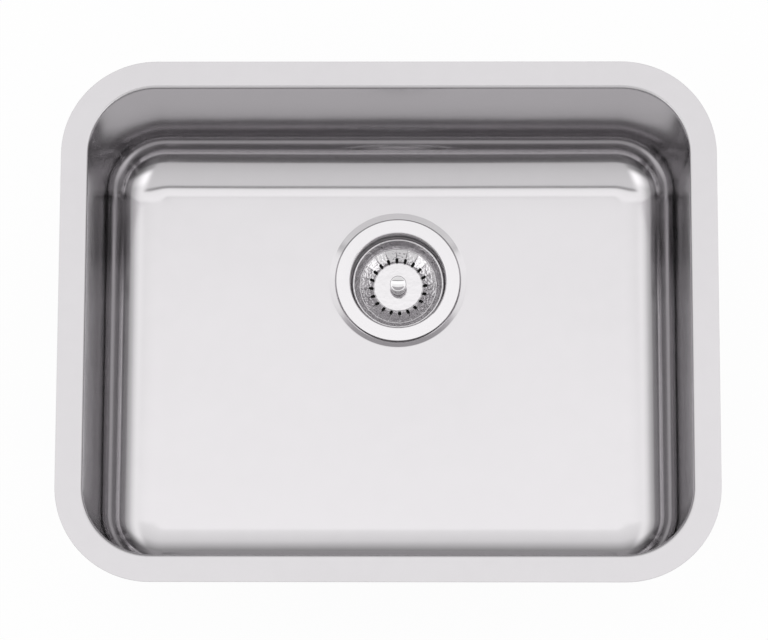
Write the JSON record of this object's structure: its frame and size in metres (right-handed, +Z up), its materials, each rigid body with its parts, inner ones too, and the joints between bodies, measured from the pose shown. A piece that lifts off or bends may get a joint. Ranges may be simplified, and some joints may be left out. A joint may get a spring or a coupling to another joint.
{
  "type": "undermount kitchen sink",
  "caption": "Rounded rectangular undermount sink bowl in satin stainless steel, with a flat rim, coved floor and a push-down basket strainer waste.",
  "frame": {"origin": "centre of the bowl's opening in the top face of the rim, where the worktop rests", "axes": "+X to the right along the sink's length, +Y to the back, where the outlet is nearer, +Z up out of the bowl"},
  "size_m": [0.56, 0.45, 0.2781],
  "materials": {
    "bowl_steel": "satin stainless, fine grain",
    "waste_steel": "polished stainless, turned grain",
    "basket_steel": "bright pressed stainless",
    "knob_chrome": "polished",
    "bolt_steel": "turned, machined",
    "insert_brass": "turned",
    "housing_plastic": "moulded polypropylene, satin",
    "ring_nylon": "moulded nylon",
    "seal_rubber": "moulded, matt black",
    "gasket_foam": "closed-cell foam, pale grey",
    "pad_rubber": "bitumen-rubber sheet, dark grey"
  },
  "bodies": {
    "sink": {"sink_bowl": "bowl_steel", "sound_pad_front": "pad_rubber", "sound_pad_left": "pad_rubber", "sound_pad_right": "pad_rubber", "waste_cup": "waste_steel", "upper_gasket": "gasket_foam", "lower_gasket": "seal_rubber", "waste_housing": "housing_plastic", "threaded_insert": "insert_brass", "clamp_bolt": "bolt_steel", "clamp_washer": "bolt_steel"},
    "grip": {"grip_ring": "ring_nylon"},
    "basket": {"strainer_basket": "basket_steel", "basket_knob": "knob_chrome", "basket_spindle": "bolt_steel", "seal_spacer": "ring_nylon", "plug_seal": "seal_rubber", "seal_washer": "bolt_steel", "spindle_nut": "bolt_steel"}
  },
  "joints": [
    {"name": "basket_lift", "type": "slide", "parent": "sink", "child": "grip", "axis": [0, 0, 1], "range_m": [0, 0.262]},
    {"name": "basket_turn", "type": "hinge", "parent": "grip", "child": "basket", "pos_m": [0.0065, 0.074, -0.2267], "axis": [0, 0, 1], "continuous": true}
  ]
}
